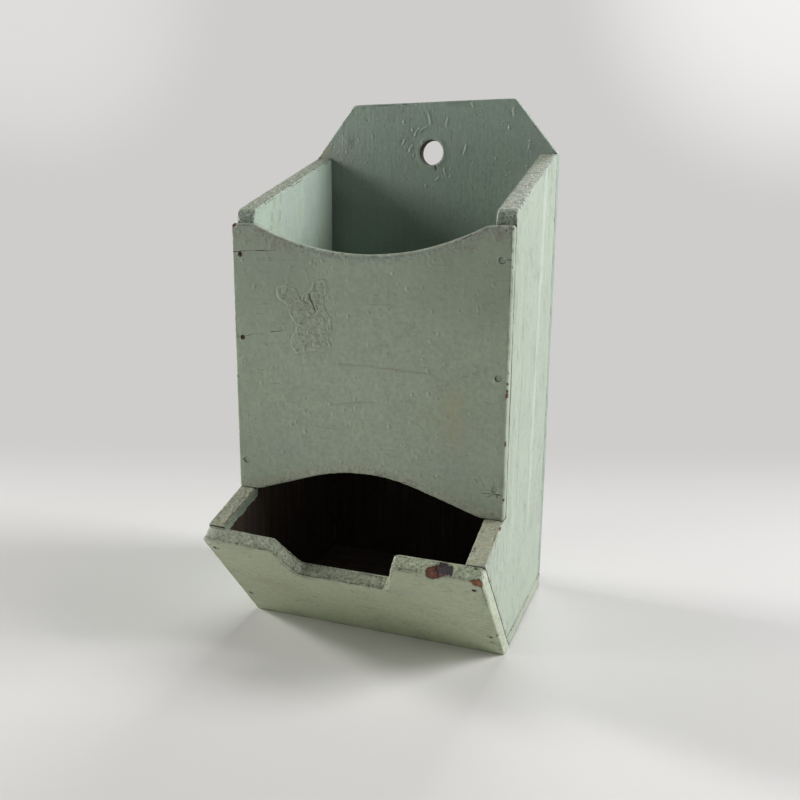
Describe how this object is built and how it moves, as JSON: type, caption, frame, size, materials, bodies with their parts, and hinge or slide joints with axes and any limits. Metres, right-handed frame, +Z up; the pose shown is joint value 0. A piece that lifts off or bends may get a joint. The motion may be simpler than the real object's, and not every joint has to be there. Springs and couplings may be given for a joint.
{
  "type": "match holder",
  "caption": "Wall-hung wooden match holder: open-topped hopper behind an arched front panel, feeding a leaning notched tray.",
  "frame": {"origin": "middle of the bounding box's footprint, on the surface it stands on", "axes": "+Z up, -Y towards the open tray, +Y towards the wall, +X to the right seen from the front"},
  "size_m": [0.081, 0.0806, 0.159],
  "materials": {
    "painted_wood": "old brushed sage-green paint, satin, chipped at the edges; bare dark wood inside the lower part",
    "rusty_iron": "rusty wire nail"
  },
  "bodies": {
    "root": {"back_board": "painted_wood", "left_side": "painted_wood", "right_side": "painted_wood", "bottom_board": "painted_wood", "front_panel": "painted_wood", "tray_front": "painted_wood", "front_panel_nails": "rusty_iron", "tray_front_nails": "rusty_iron", "back_board_nails": "rusty_iron", "bottom_board_nails": "rusty_iron"}
  },
  "joints": []
}
